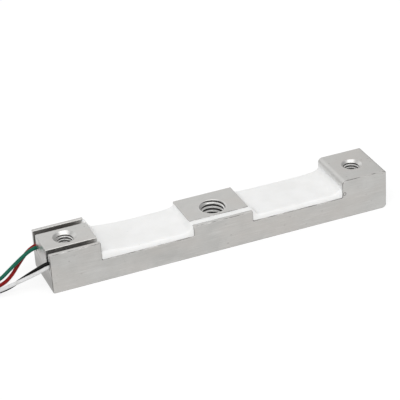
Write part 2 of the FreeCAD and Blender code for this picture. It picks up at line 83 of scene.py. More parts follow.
FILM_ON_STEP = (FAR_FACE - 0.02, FAR_FACE + 0.5, 0.4)
DENT_PLACE = (29.5, 6.2)
DENT_RING = (0.27, 0.40, 0.06)
THREAD_SHADE = (0.25, 0.5)  # of the thread's depth
ALUMINIUM = {
    "shaded": (0.495, 0.490, 0.475, 1),
    "bright": (0.590, 0.585, 0.570, 1),
    "warm": (0.545, 0.520, 0.495, 1),
    "speck": (0.36, 0.355, 0.34, 1),
    "drawn_dark": (0.40, 0.395, 0.38, 1),
    "drawn_bright": (0.68, 0.675, 0.66, 1),
    "saw_mark": (0.30, 0.295, 0.285, 1),
    "pit": (0.22, 0.21, 0.20, 1),
    "lead_end_shadow": (0.25, 0.245, 0.235, 1),
    "fresh_cut_and_glint": (0.66, 0.655, 0.64, 1),
    "seam": (0.2, 0.195, 0.19, 1),
    # The rim colour is painted shade along the chamfers of the long edges.
    "rim": (0.16, 0.155, 0.15, 1),
    "foot": (0.20, 0.195, 0.19, 1),
    "silicone_film": (0.82, 0.82, 0.815, 1),
    "dent": (0.22, 0.215, 0.21, 1),
}


def finish_of(name):
    """A new material with only an output and a Principled shader, with its node tree and that shader."""
    material = bpy.data.materials.new(name)
    material.use_nodes = True
    tree = material.node_tree
    tree.nodes.clear()
    output = tree.nodes.new("ShaderNodeOutputMaterial")
    shader = tree.nodes.new("ShaderNodeBsdfPrincipled")
    tree.links.new(shader.outputs[0], output.inputs["Surface"])
    return material, tree, shader


def feed(tree, socket, value):
    """Sets a socket to a number or colour, or links another node's output to it."""
    if isinstance(value, bpy.types.NodeSocket):
        tree.links.new(value, socket)
    else:
        socket.default_value = value


def place(tree, scale=(1, 1, 1), turn=(0, 0, 0)):
    """The surface point in millimetres, turned by degrees and then stretched."""
    point = tree.nodes.new("ShaderNodeTexCoord")
    turned = tree.nodes.new("ShaderNodeMapping")
    turned.inputs["Rotation"].default_value = [math.radians(angle) for angle in turn]
    tree.links.new(point.outputs["Object"], turned.inputs["Vector"])
    stretched = tree.nodes.new("ShaderNodeMapping")
    stretched.inputs["Scale"].default_value = [factor / MM for factor in scale]
    tree.links.new(turned.outputs[0], stretched.inputs["Vector"])
    return stretched.outputs[0]


def axes(tree, vector):
    """The three parts of a vector."""
    parts = tree.nodes.new("ShaderNodeSeparateXYZ")
    tree.links.new(vector, parts.inputs[0])
    return list(parts.outputs)


def mottle(tree, point, scale, detail=3.0, roughness=0.5, distortion=0.0):
    """Cloudy noise from 0 to 1 with that many clouds to a millimetre."""
    cloud = tree.nodes.new("ShaderNodeTexNoise")
    tree.links.new(point, cloud.inputs["Vector"])
    cloud.inputs["Scale"].default_value = scale
    cloud.inputs["Detail"].default_value = detail
    cloud.inputs["Roughness"].default_value = roughness
    cloud.inputs["Distortion"].default_value = distortion
    return cloud.outputs["Fac"]


def dots(tree, point, scale):
    """The distance to the nearest of scattered points, with that many to a millimetre."""
    cells = tree.nodes.new("ShaderNodeTexVoronoi")
    tree.links.new(point, cells.inputs["Vector"])
    cells.inputs["Scale"].default_value = scale
    return cells.outputs["Distance"]


def remap(tree, value, low, high, to_low=0.0, to_high=1.0):
    """The value stretched from one range to another and clipped there."""
    node = tree.nodes.new("ShaderNodeMapRange")
    feed(tree, node.inputs["Value"], value)
    for name, number in (("From Min", low), ("From Max", high), ("To Min", to_low), ("To Max", to_high)):
        node.inputs[name].default_value = number
    return node.outputs[0]


def maths(tree, operation, *values):
    """One step of arithmetic on numbers or sockets."""
    node = tree.nodes.new("ShaderNodeMath")
    node.operation = operation
    for socket, value in zip(node.inputs, values):
        feed(tree, socket, value)
    return node.outputs[0]


def times(tree, *values):
    """The product of several numbers or sockets."""
    product = values[0]
    for value in values[1:]:
        product = maths(tree, "MULTIPLY", product, value)
    return product


def tint(tree, share, plain, other):
    """One colour laid over another by that share."""
    node = tree.nodes.new("ShaderNodeMix")
    node.data_type = "RGBA"
    for socket, value in zip((node.inputs[0], node.inputs[6], node.inputs[7]), (share, plain, other)):
        feed(tree, socket, value)
    return node.outputs[2]


def relief(tree, height, depth, strength=1.0, under=None):
    """Bump of that depth in millimetres, over another bump where there is one."""
    node = tree.nodes.new("ShaderNodeBump")
    node.inputs["Strength"].default_value = strength
    node.inputs["Distance"].default_value = depth * MM
    tree.links.new(height, node.inputs["Height"])
    if under is not None:
        tree.links.new(under, node.inputs["Normal"])
    return node.outputs[0]


def facing(tree):
    """How squarely the surface faces along each axis, as three numbers from 0 to 1."""
    geometry = tree.nodes.new("ShaderNodeNewGeometry")
    parts = axes(tree, geometry.outputs["True Normal"])
    return [remap(tree, maths(tree, "ABSOLUTE", part), 0.6, 0.8) for part in parts]


def from_hole(tree, x, y):
    """The distance in millimetres to the axis of the nearest hole."""
    along = maths(tree, "WRAP", x, HOLE_SPACING / 2, -HOLE_SPACING / 2)
    return maths(tree, "SQRT", maths(tree, "ADD", times(tree, along, along), times(tree, y, y)))


def band(tree, value, low, high, soft):
    """1 where the value lies between the limits, fading to 0 over the soft width outside them."""
    return times(tree, remap(tree, value, low - soft, low), remap(tree, value, high, high + soft, 1.0, 0.0))


def milled_aluminium():
    """Satin aluminium with drawn lines, saw marks, pits and dark lines, painted shade on its edges and lead
    end, and a painted glint.
    """
    material, tree, shader = finish_of("milled_aluminium")
    along_x, along_y, along_z = facing(tree)
    x, y, z = axes(tree, place(tree))
    side = maths(tree, "ABSOLUTE", y)
    sawn_ends = times(tree, along_x, remap(tree, maths(tree, "ABSOLUTE", x), *SAWN_FROM))
    clouds = mottle(tree, place(tree, (0.7, 1, 1)), 0.3, 4.0, 0.55, 0.5)
    warmth = mottle(tree, place(tree, (0.6, 1, 1)), 0.16, 2.0)
    patches = mottle(tree, place(tree), 0.55, 3.0)
    speckle = mottle(tree, place(tree), 5.0, 3.0, 0.6)
    drawn = mottle(tree, place(tree, (0.04, 1, 1)), 7.0, 3.0, 0.6)
    sawn = mottle(tree, place(tree, (1, 0.04, 1), (-14, 0, 0)), 3.2, 3.0, 0.6)
    colour = tint(tree, remap(tree, clouds, 0.32, 0.7), ALUMINIUM["shaded"], ALUMINIUM["bright"])
    colour = tint(tree, remap(tree, warmth, 0.4, 0.65, 0.0, 0.6), colour, ALUMINIUM["warm"])
    colour = tint(tree, remap(tree, speckle, 0.58, 0.74, 0.0, 0.3), colour, ALUMINIUM["speck"])

    # Lines drawn along the sides, saw marks on the ends, scattered pits, and painted shadow low on the lead
    # end, where the leads hang in front of it.
    drawn_dark = times(tree, remap(tree, drawn, 0.52, 0.72), along_y, 0.35)
    colour = tint(tree, drawn_dark, colour, ALUMINIUM["drawn_dark"])
    drawn_bright = times(tree, remap(tree, drawn, 0.40, 0.28), along_y, 0.5)
    colour = tint(tree, drawn_bright, colour, ALUMINIUM["drawn_bright"])
    saw_marks = times(tree, remap(tree, sawn, 0.47, 0.6), sawn_ends, 0.8)
    colour = tint(tree, saw_marks, colour, ALUMINIUM["saw_mark"])
    pits = remap(tree, dots(tree, place(tree, (0.6, 1, 1)), 0.7), 0.06, 0.13, 1.0, 0.0)
    pits = times(tree, pits, remap(tree, clouds, 0.42, 0.56))
    colour = tint(tree, times(tree, pits, 0.4), colour, ALUMINIUM["pit"])
    # Painted shadow: the lower part of the lead end's face is darkened where the leads hang in front of it.
    lead_end_shadow = times(tree, sawn_ends, remap(tree, x, *LEAD_END_FROM, 1.0, 0.0))
    lead_end_shadow = times(tree, lead_end_shadow, remap(tree, z, 2.5, 6.5, 0.95, 0.0))
    colour = tint(tree, lead_end_shadow, colour, ALUMINIUM["lead_end_shadow"])

    # Fresh metal in the countersinks, and a painted highlight: a thin bright ring of glint round the centre
    # hole.
    radius = from_hole(tree, x, y)
    sink = times(tree, remap(tree, radius, *SINK_WITHIN), remap(tree, z, 6.0, 6.2),
                 remap(tree, along_z, 0.99, 0.95))
    # Painted glint: a thin bright ring round the rim of the centre hole, on the centre land's top.
    painted_glint = times(tree, band(tree, radius, *GLINT_RING), band(tree, z, 7.6, 7.8, 0.05))
    painted_glint = times(tree, painted_glint, remap(tree, patches, 0.35, 0.6, 0.4, 1.0))
    colour = tint(tree, maths(tree, "MAXIMUM", sink, painted_glint), colour, ALUMINIUM["fresh_cut_and_glint"])

    # A dark line beside the centre slot, painted shade along the chamfers of the long edges, and a dark band
    # in patches at the foot.
    on_centre = times(tree, band(tree, z, 7.55, 7.8, 0.05), remap(tree, y, 0.0, -0.1))
    seam = maths(tree, "ADD", band(tree, side, SLOT_NEAR - SEAM_WIDTH, SLOT_NEAR, SEAM_SOFT),
                 band(tree, side, SLOT_FAR, SLOT_FAR + SEAM_WIDTH, SEAM_SOFT))
    seam = times(tree, seam, on_centre, remap(tree, patches, 0.35, 0.6, 0.2, 0.8))
    colour = tint(tree, seam, colour, ALUMINIUM["seam"])
    # Painted shade: the chamfers along the long edges are darkened, standing in for the shadow and dark
    # reflection there.
    rim = times(tree, remap(tree, side, *RIM_SHADE_INNER), remap(tree, side, *RIM_SHADE_OUTER, 1.0, 0.0))
    rim = times(tree, rim, remap(tree, patches, 0.36, 0.6, 0.95, 0.35))
    colour = tint(tree, rim, colour, ALUMINIUM["rim"])
    # Darker in patches along the foot of the sides, just above the floor.
    foot = times(tree, remap(tree, z, *FOOT_DARKENING, 1.0, 0.0), remap(tree, patches, 0.48, 0.62), along_y)
    colour = tint(tree, times(tree, foot, 0.55), colour, ALUMINIUM["foot"])

    # A film of silicone wiped up the right land's step, and a small round dent in the front beside it.
    on_step = times(tree, band(tree, x, *FILM_ON_STEP), remap(tree, along_y, 0.1, 0.0))
    height = maths(tree, "ADD", z, times(tree, patches, 0.8))
    film = times(tree, remap(tree, height, 8.1, 9.1, 0.95, 0.12), on_step, remap(tree, z, 5.0, 5.2))
    colour = tint(tree, film, colour, ALUMINIUM["silicone_film"])
    from_dent = maths(tree, "ADD", maths(tree, "POWER", maths(tree, "SUBTRACT", x, DENT_PLACE[0]), 2.0),
                      maths(tree, "POWER", maths(tree, "SUBTRACT", z, DENT_PLACE[1]), 2.0))
    dent = band(tree, maths(tree, "SQRT", from_dent), *DENT_RING)
    dent = times(tree, dent, remap(tree, y, -6.0, -6.1))
    colour = tint(tree, times(tree, dent, 0.85), colour, ALUMINIUM["dent"])

    feed(tree, shader.inputs["Base Color"], colour)
    feed(tree, shader.inputs["Metallic"], maths(tree, "SUBTRACT", 1.0, film))
    rough = remap(tree, clouds, 0.25, 0.75, 0.36, 0.48)
    rough = maths(tree, "SUBTRACT", rough, times(tree, sawn_ends, 0.1))
    feed(tree, shader.inputs["Roughness"], rough)
    grain = relief(tree, speckle, 0.008, 0.5)
    grain = relief(tree, times(tree, drawn, along_y), 0.008, 0.6, grain)
    grain = relief(tree, times(tree, sawn, sawn_ends), 0.02, 0.6, grain)
    hollows = maths(tree, "MAXIMUM", pits, dent)
    grain = relief(tree, maths(tree, "SUBTRACT", 1.0, hollows), 0.02, 0.7, grain)
    feed(tree, shader.inputs["Normal"], grain)
    return material


def thread_flank():
    """Near-white cut metal at the thread's crests, a painted highlight, which darkens towards its roots as
    painted shade.
    """
    material, tree, shader = finish_of("thread_flank")
    x, y = axes(tree, place(tree))[:2]
    radius = from_hole(tree, x, y)
    small, large = [(core / 2, root / 2) for core, root, pitch in (SMALL_THREAD, LARGE_THREAD)]
    between = (small[1] + large[0]) / 2
    depth = maths(tree, "ADD", remap(tree, radius, *small), remap(tree, radius, *large))
    depth = maths(tree, "SUBTRACT", depth, maths(tree, "GREATER_THAN", radius, between))
    chatter = mottle(tree, place(tree, (1, 1, 0.4)), 4.0, 3.0)
    bright = tint(tree, remap(tree, chatter, 0.35, 0.7), (0.97, 0.965, 0.95, 1), (0.88, 0.875, 0.86, 1))
    # Painted shade: the metal darkens with depth towards the roots, and the crests are near white as a
    # painted highlight.
    painted_root_shade = remap(tree, depth, *THREAD_SHADE)
    feed(tree, shader.inputs["Base Color"], tint(tree, painted_root_shade, bright, (0.05, 0.047, 0.042, 1)))
    feed(tree, shader.inputs["Metallic"], remap(tree, depth, *THREAD_SHADE, 0.35, 0.2))
    feed(tree, shader.inputs["Roughness"], remap(tree, chatter, 0.3, 0.7, 0.34, 0.44))
    feed(tree, shader.inputs["Normal"], relief(tree, chatter, 0.01, 0.5))
    return material


def thread_root_shade():
    """Dark metal at the thread's roots and downward flanks, painted shade."""
    material, tree, shader = finish_of("thread_root_shade")
    root_mottle = mottle(tree, place(tree), 2.5, 3.0)
    feed(tree, shader.inputs["Base Color"],
         tint(tree, remap(tree, root_mottle, 0.35, 0.7), (0.035, 0.032, 0.028, 1), (0.07, 0.065, 0.06, 1)))
    shader.inputs["Metallic"].default_value = 0.3
    feed(tree, shader.inputs["Roughness"], remap(tree, root_mottle, 0.3, 0.7, 0.4, 0.55))
    feed(tree, shader.inputs["Normal"], relief(tree, root_mottle, 0.01, 0.5))
    return material


def tap(thread, x, low, high):
    """The solid that a tap sweeps out: a core with one ridge wound round it from low to high, in mm."""
    core, root, pitch = thread
    core_radius = core / 2 + CORE_WEAR
    root_radius = root / 2
    flank = (root - core) / 2 / math.tan(math.radians(FLANK_SLOPE))
    flat = pitch * ROOT_FLAT
    profile = ((core_radius, 0.0), (root_radius, flank), (root_radius, flank + flat),
               (core_radius, 2 * flank + flat))
    turns = math.ceil((high - low) / pitch)
    cutter = bmesh.new()

    def point(radius, angle, z):
        return cutter.verts.new((MM * (x + radius * math.cos(angle)), MM * radius * math.sin(angle), MM * z))

    rows = []
    for step in range((turns + 1) * THREAD_STEPS + 1):
        turn = step / THREAD_STEPS
        angle = 2 * math.pi * turn + math.radians(THREAD_START)
        rows.append([point(radius, angle, low + pitch * turn + rise) for radius, rise in profile])
    strips = []
    for step in range(turns * THREAD_STEPS + 1):
        strips.append(rows[step] + [rows[step + THREAD_STEPS][0]])
    for here, ahead in zip(strips, strips[1:]):
        for side in range(len(profile)):
            face = cutter.faces.new((here[side], ahead[side], ahead[side + 1], here[side + 1]))
            # The root and the downward-facing flank take the dark finish, painted shade; the upward flank and
            # the crest take the bright one.
            face.material_index = 0 if side in (0, 3) else 1
    foot = cutter.verts.new((MM * x, 0.0, MM * low))
    head = cutter.verts.new((MM * x, 0.0, MM * (low + pitch * (turns + 1))))
    first_turn = [row[0] for row in rows[:THREAD_STEPS + 1]] + list(reversed(strips[0][1:-1]))
    last_turn = [strip[-1] for strip in strips[-THREAD_STEPS - 1:]] + list(reversed(strips[-1][1:-1]))
    for rim, middle in ((first_turn, foot), (last_turn, head)):
        for a, b in zip(rim, rim[1:] + rim[:1]):
            cutter.faces.new((a, b, middle))
    bmesh.ops.delete(cutter, geom=[v for v in cutter.verts if not v.link_faces], context="VERTS")
    bmesh.ops.recalc_face_normals(cutter, faces=cutter.faces)
    mesh = bpy.data.meshes.new("tap")
    cutter.to_mesh(mesh)
    cutter.free()
    return bpy.data.objects.new("tap", mesh)


def countersink(x, across, z, way):
    """The solid that a 90 degree countersink sweeps out, from above (1) or below (-1) that height, in mm."""
    reach = across / 2 + CORE_WEAR + SINK_PAST
    middle = z + way * (SINK_PAST - reach / 2)
    turned = Matrix.Rotation(math.pi if way > 0 else 0.0, 4, "X")
    cutter = bmesh.new()
    bmesh.ops.create_cone(cutter, cap_ends=True, segments=SINK_STEPS, radius1=reach * MM, radius2=0.0,
                          depth=reach * MM, matrix=Matrix.Translation((x * MM, 0.0, middle * MM)) @ turned)
    mesh = bpy.data.meshes.new("countersink")
    cutter.to_mesh(mesh)
    cutter.free()
    return bpy.data.objects.new("countersink", mesh)


def cut_away(piece, cutter, finishes):
    """Takes a cutter's solid out of a piece and lines the cut with the finishes."""
    for finish in finishes:
        cutter.data.materials.append(finish)
    bpy.context.scene.collection.objects.link(cutter)
    cut = piece.modifiers.new(cutter.name, "BOOLEAN")
    cut.operation = "DIFFERENCE"
    cut.solver = "EXACT"
    cut.material_mode = "TRANSFER"
    cut.object = cutter


def show(name, data):
    """A new piece of the scene with that mesh or curve."""
    piece = bpy.data.objects.new(name, data)
    bpy.context.scene.collection.objects.link(piece)
    return piece


def settled(piece):
    """The piece's mesh with all its modifiers worked in."""
    graph = bpy.context.evaluated_depsgraph_get()
    return bpy.data.meshes.new_from_object(piece.evaluated_get(graph))


beam_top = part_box("beam")[1].z / MM
blank = bmesh.new()
blank.from_mesh(nodes["beam"].data)
bmesh.ops.remove_doubles(blank, verts=blank.verts, dist=WELD * MM)
blank.verts.index_update()
blank_mesh = bpy.data.meshes.new("beam_blank")
blank_faces = [[v.index for v in face.verts] for face in blank.faces]
blank_mesh.from_pydata([v.co for v in blank.verts], [], blank_faces)
blank.free()
aluminium = milled_aluminium()
blank_mesh.materials.append(aluminium)
blank_piece = show("beam_blank", blank_mesh)
thread_finishes = (thread_flank(), thread_root_shade())
cutters = []
for thread, x, across, top in TAPPED_HOLES:
    core, root, pitch = thread
    tapped = tap(thread, x, -2 * pitch, beam_top + pitch)
    cut_away(blank_piece, tapped, thread_finishes)
    cones = [countersink(x, across, top, 1), countersink(x, core + 2 * BORE_BREAK, 0.0, -1)]
    for cone in cones:
        cut_away(blank_piece, cone, [aluminium])
    cutters += cones + [tapped]
tapped_mesh = settled(blank_piece)
for leftover in [blank_piece] + cutters:
    bpy.data.objects.remove(leftover)
flats = bmesh.new()
flats.from_mesh(tapped_mesh)
bmesh.ops.remove_doubles(flats, verts=flats.verts, dist=SLIVER * MM)
bmesh.ops.dissolve_degenerate(flats, edges=flats.edges, dist=SLIVER * MM)
bmesh.ops.dissolve_limit(flats, angle_limit=math.radians(FLAT_WITHIN), verts=flats.verts, edges=flats.edges,
                         delimit={"MATERIAL"})
between_two = [v for v in flats.verts if len(v.link_edges) == 2]
least, most = CORNER_LIMITS
kinks = [v for v in between_two if not least < math.degrees(v.calc_edge_angle()) < most]
bmesh.ops.dissolve_verts(flats, verts=kinks)
flats.to_mesh(tapped_mesh)
flats.free()
tapped_mesh.shade_smooth()
tapped_mesh.set_sharp_from_angle(angle=math.radians(BEAM_SHARP))
beam = show("tapped_beam", tapped_mesh)
evening = beam.modifiers.new("even_faces", "WEIGHTED_NORMAL")
evening.keep_sharp = True
evening.weight = 100
beam_mesh = settled(beam)
beam.modifiers.clear()
beam.data = beam_mesh
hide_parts("beam")
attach(beam, "root")


# Strain gauges: four etched foil grids on thin amber film, glued to the pocket floors in pairs.
# The film and the foil on it are told apart by their height above the floor.

POCKET_FLOOR = 5.3
CARRIER_THICKNESS = 0.08
METAL_FROM, METAL_FULL = 0.002, 0.006
GAUGES = ("left_outer", "left_inner", "right_inner", "right_outer")


def gauge_film_and_foil():
    """Amber film, and rolled copper-nickel foil wherever the surface stands above it."""
    material, tree, shader = finish_of("gauge_film_and_foil")
    height = axes(tree, place(tree))[2]
    carrier_top = POCKET_FLOOR + CARRIER_THICKNESS
    foil = remap(tree, height, carrier_top + METAL_FROM, carrier_top + METAL_FULL)
    clouds = mottle(tree, place(tree), 0.9, 3.0)
    rolled = mottle(tree, place(tree, (0.08, 1, 1)), 12.0, 2.0)
    film = tint(tree, remap(tree, clouds, 0.3, 0.7), (0.56, 0.31, 0.06, 1), (0.66, 0.41, 0.11, 1))
    metal = tint(tree, remap(tree, rolled, 0.35, 0.7), (0.62, 0.50, 0.41, 1), (0.50, 0.40, 0.33, 1))
    feed(tree, shader.inputs["Base Color"], tint(tree, foil, film, metal))
    feed(tree, shader.inputs["Metallic"], foil)
    feed(tree, shader.inputs["Roughness"], remap(tree, clouds, 0.3, 0.7, 0.28, 0.42))
    feed(tree, shader.inputs["Normal"], relief(tree, rolled, 0.004, 0.5))
    return material


def dress(label, finish):
    """Gives a CAD node one finish all over."""
    nodes[label].data.materials.clear()
    nodes[label].data.materials.append(finish)


gauge_finish = gauge_film_and_foil()
for spot in GAUGES:
    dress(f"strain_gauge_{spot}", gauge_finish)


# Terminal strips: tinned copper pads on a sliver of glass fibre board, glued between the gauges.
# The weave of the glass shows through the resin beside the pads.

STRIP_THICKNESS = 0.25
WEAVE_PITCH = 0.45
STRIPS = ("lead_terminal_strip", "bridge_terminal_strip")


def board_and_pads():
    """Woven glass in resin, and tinned copper wherever the surface stands above it."""
    material, tree, shader = finish_of("board_and_pads")
    x, y, z = axes(tree, place(tree))
    board_top = POCKET_FLOOR + STRIP_THICKNESS
    copper = remap(tree, z, board_top + METAL_FROM, board_top + METAL_FULL)
    warp = maths(tree, "SINE", times(tree, x, 2 * math.pi / WEAVE_PITCH))
    weft = maths(tree, "SINE", times(tree, y, 2 * math.pi / WEAVE_PITCH))
    weave = remap(tree, times(tree, warp, weft), -1.0, 1.0)
    resin = tint(tree, weave, (0.40, 0.36, 0.16, 1), (0.52, 0.47, 0.24, 1))
    clouds = mottle(tree, place(tree), 2.0, 3.0)
    tin = tint(tree, remap(tree, clouds, 0.35, 0.65), (0.72, 0.70, 0.67, 1), (0.66, 0.42, 0.27, 1))
    feed(tree, shader.inputs["Base Color"], tint(tree, copper, resin, tin))
    feed(tree, shader.inputs["Metallic"], copper)
    feed(tree, shader.inputs["Roughness"], remap(tree, clouds, 0.3, 0.7, 0.3, 0.45))
    feed(tree, shader.inputs["Normal"], relief(tree, weave, 0.01, 0.5))
    return material


board_finish = board_and_pads()
for label in STRIPS:
    dress(label, board_finish)


# Gauge tails, jumpers and the leads' stripped inner ends: flat tinned ribbons from the gauges to the pads,
# enamelled copper wires through the centre slot, and tinned strands on to the first strip.

def tinned_copper():
    """Dull tin, wiped thin in places so that copper shows through."""
    material, tree, shader = finish_of("tinned_copper")
    patches = mottle(tree, place(tree), 1.6, 3.0)
    wiped = mottle(tree, place(tree, (0.15, 1, 1)), 8.0, 2.0)
    colour = tint(tree, remap(tree, patches, 0.35, 0.7), (0.74, 0.735, 0.72, 1), (0.60, 0.585, 0.56, 1))
    colour = tint(tree, remap(tree, wiped, 0.64, 0.74, 0.0, 0.6), colour, (0.62, 0.36, 0.22, 1))
    feed(tree, shader.inputs["Base Color"], colour)
    shader.inputs["Metallic"].default_value = 1.0
    feed(tree, shader.inputs["Roughness"], remap(tree, patches, 0.3, 0.7, 0.24, 0.4))
    feed(tree, shader.inputs["Normal"], relief(tree, wiped, 0.008, 0.5))
    return material


def enamelled_copper():
    """Copper under a clear, slightly brown enamel."""
    material, tree, shader = finish_of("enamelled_copper")
    patches = mottle(tree, place(tree), 1.2, 3.0)
    feed(tree, shader.inputs["Base Color"],
         tint(tree, remap(tree, patches, 0.3, 0.7), (0.46, 0.15, 0.05, 1), (0.60, 0.24, 0.09, 1)))
    shader.inputs["Metallic"].default_value = 0.85
    feed(tree, shader.inputs["Roughness"], remap(tree, patches, 0.3, 0.7, 0.2, 0.34))
    shader.inputs["Coat Weight"].default_value = 0.6
    feed(tree, shader.inputs["Normal"], relief(tree, patches, 0.006, 0.5))
    return material


tin_finish = tinned_copper()
for label in ("gauge_tails_left", "gauge_tails_right", "lead_inner_ends"):
    dress(label, tin_finish)
enamel_finish = enamelled_copper()
for label in ("jumper_wire_supply", "jumper_wire_return", "jumper_wire_signal"):
    dress(label, enamel_finish)


# Leads: four thin stranded wires in coloured soft plastic jackets. They lie in the slots of the lead end,
# two to a slot, come out of the end face and drop to the surface that the cell stands on.
# Each one's outer end is stripped, and its seven strands are twisted and tinned.

LEAD_DIAMETER = 0.83
LEAD_ROUTES = {
    "white": [
        (-27.4, -4.97, 5.74), (-31.8, -4.975, 5.75), (-36.0, -4.97, 5.86), (-38.2, -4.975, 5.99),
        (-40.1, -4.96, 6.1), (-42.3, -4.85, 5.3), (-46.0, -4.05, 3.85), (-51.5, -2.7, 1.85),
        (-59.0, -2.2, 0.43), (-72.0, -2.7, 0.43), (-91.0, -1.9, 0.43), (-109.0, -2.9, 0.43),
    ],
    "black": [
        (-27.4, -4.28, 6.28), (-31.8, -4.285, 6.29), (-36.0, -4.28, 6.4), (-38.2, -4.285, 6.53),
        (-40.1, -4.28, 6.62), (-42.1, -3.95, 5.7), (-45.2, -2.75, 3.6), (-48.5, -1.3, 1.0),
        (-52.4, -0.85, 0.43), (-59.5, -0.8, 0.43), (-73.0, -1.3, 0.43), (-93.0, -0.5, 0.43),
        (-111.5, -0.9, 0.43),
    ],
    "green": [
        (-27.4, 4.125, 5.74), (-31.6, 4.13, 5.75), (-36.0, 4.125, 5.86), (-38.3, 4.13, 6.0),
        (-40.2, 4.13, 6.12), (-42.4, 4.0, 5.3), (-46.1, 3.4, 3.05), (-50.0, 2.5, 0.72),
        (-57.5, 2.05, 0.43), (-71.0, 1.6, 0.43), (-90.0, 2.3, 0.43), (-107.5, 2.5, 0.43),
    ],
    "red": [
        (-27.4, 4.975, 5.8), (-31.6, 4.97, 5.81), (-35.8, 4.975, 5.92), (-38.1, 4.97, 6.06),
        (-40.0, 4.97, 6.18), (-42.0, 5.06, 4.95), (-44.4, 4.65, 2.4), (-46.4, 3.3, 1.05),
        (-48.8, 1.55, 0.62), (-52.6, 0.7, 0.44), (-59.5, 0.4, 0.43), (-72.0, 0.1, 0.43),
        (-91.0, 0.8, 0.43), (-110.5, 1.1, 0.43),
    ],
}
JACKETS = {
    "white": ((0.70, 0.70, 0.705, 1), (0.61, 0.61, 0.60, 1)),
    "black": ((0.004, 0.004, 0.004, 1), (0.009, 0.009, 0.008, 1)),
    "green": ((0.005, 0.115, 0.072, 1), (0.010, 0.140, 0.090, 1)),
    "red": ((0.235, 0.007, 0.007, 1), (0.28, 0.012, 0.011, 1)),
}
STRANDS = 7
STRAND_DIAMETER = 0.15
STRAND_REACH = 4.0
STRAND_LAY = 2.6
STRAND_STEPS = 17
STRAND_UNEVEN = 0.12


def jacket_plastic(colour):
    """Soft plastic drawn on along the wire, scuffed in patches."""
    material, tree, shader = finish_of(f"{colour}_jacket")
    plain, scuffed = JACKETS[colour]
    patches = mottle(tree, place(tree), 0.8, 3.0)
    drawn = mottle(tree, place(tree, (0.2, 1, 1)), 7.0, 2.0)
    feed(tree, shader.inputs["Base Color"], tint(tree, remap(tree, patches, 0.4, 0.7), plain, scuffed))
    feed(tree, shader.inputs["Roughness"], remap(tree, patches, 0.3, 0.7, 0.36, 0.5))
    shader.inputs["Specular IOR Level"].default_value = 0.14
    feed(tree, shader.inputs["Normal"], relief(tree, drawn, 0.006, 0.6))
    return material


def line_of(name, points, diameter):
    """A round wire along the route's points, which are its spline's control points, in mm."""
    curve = bpy.data.curves.new(name, "CURVE")
    curve.dimensions = "3D"
    curve.resolution_u = 12
    curve.bevel_depth = diameter / 2 * MM
    curve.bevel_resolution = 5
    curve.use_fill_caps = True
    spline = curve.splines.new("NURBS")
    spline.points.add(len(points) - 1)
    for spot, point in zip(spline.points, points):
        spot.co = (*(MM * Vector(point)), 1.0)
    spline.order_u = 3
    spline.use_endpoint_u = True
    return curve


def strands_of(name, start, onward):
    """Strands twisted round a straight one, from a point along a direction, in mm."""
    curve = bpy.data.curves.new(name, "CURVE")
    curve.dimensions = "3D"
    curve.bevel_depth = STRAND_DIAMETER / 2 * MM
    curve.bevel_resolution = 2
    curve.use_fill_caps = True
    upright = onward.to_track_quat("Z", "Y")
    for strand in range(STRANDS):
        spline = curve.splines.new("POLY")
        spline.points.add(STRAND_STEPS - 1)
        off_centre = 0.0 if strand == 0 else STRAND_DIAMETER
        reach = STRAND_REACH - STRAND_UNEVEN * (strand % 3)
        for step, spot in enumerate(spline.points):
            along = reach * step / (STRAND_STEPS - 1)
            angle = 2 * math.pi * (along / STRAND_LAY + strand / (STRANDS - 1))
            across = Vector((off_centre * math.cos(angle), off_centre * math.sin(angle), along))
            spot.co = (*(MM * (start + upright @ across)), 1.0)
    return curve


for colour, route in LEAD_ROUTES.items():
    lead = show(f"{colour}_lead", line_of(f"{colour}_lead", route, LEAD_DIAMETER))
    lead.data.materials.append(jacket_plastic(colour))
    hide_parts(f"lead_{colour}")
    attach(lead, "root")
    end = Vector(route[-1])
    tip = show(f"{colour}_strands", strands_of(f"{colour}_strands", end, end - Vector(route[-2])))
    tip.data.materials.append(tin_finish)
    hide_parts(f"lead_tip_{colour}")
    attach(tip, "root")


# Solder: soft tin alloy, melted on to the gauges' tabs and the strips' pads by hand.
# It sets as small bright pillows, each with a wire's end in it.

def soft_solder():
    """Bright solder with a frosted skin."""
    material, tree, shader = finish_of("soft_solder")
    frost = mottle(tree, place(tree), 2.2, 4.0)
    feed(tree, shader.inputs["Base Color"],
         tint(tree, remap(tree, frost, 0.3, 0.7), (0.70, 0.70, 0.69, 1), (0.54, 0.54, 0.535, 1)))
    shader.inputs["Metallic"].default_value = 1.0
    feed(tree, shader.inputs["Roughness"], remap(tree, frost, 0.3, 0.7, 0.16, 0.42))
    feed(tree, shader.inputs["Normal"], relief(tree, frost, 0.03, 0.6))
    return material


solder_finish = soft_solder()
for label in ("solder_joints_left", "solder_joints_right"):
    dress(label, solder_finish)


# Silicone: white rubber, poured over the gauges in both pockets and pressed along the centre slot in one go.
# It levels itself, wets the faces of the lands, rounds over at the pockets' open sides and closes round
# the leads where they come in.

LEAD_FACE, CENTRE_LEFT, CENTRE_RIGHT = -28.4, -7.05, 7.05
SKIN = 0.01
SILICONE_SIDE = 6.19
SHOULDER = 0.65
SIDE_EASE = 0.6
SLOT_MIDDLE = (SLOT_NEAR + SLOT_FAR) / 2
SLOT_HALF = (SLOT_FAR - SLOT_NEAR) / 2
POURED_LEVEL = 6.42
SLOT_LEVEL = 7.6
SLOT_CROWN = 0.16
MOUTH_SPREAD = 0.85
LEAD_RISE, LEAD_RUN = 0.68, 9.0
TONGUE = 1.6
PLUG_LEVEL = 9.4
PLUG_SPREAD = 0.95
MENISCUS = (
    # face of the land, how high the silicone climbs it, how fast that falls off
    (CENTRE_LEFT, 1.08, 0.75),
    (CENTRE_RIGHT, 0.6, 0.8),
    (FAR_FACE, 1.35, 0.85),
)
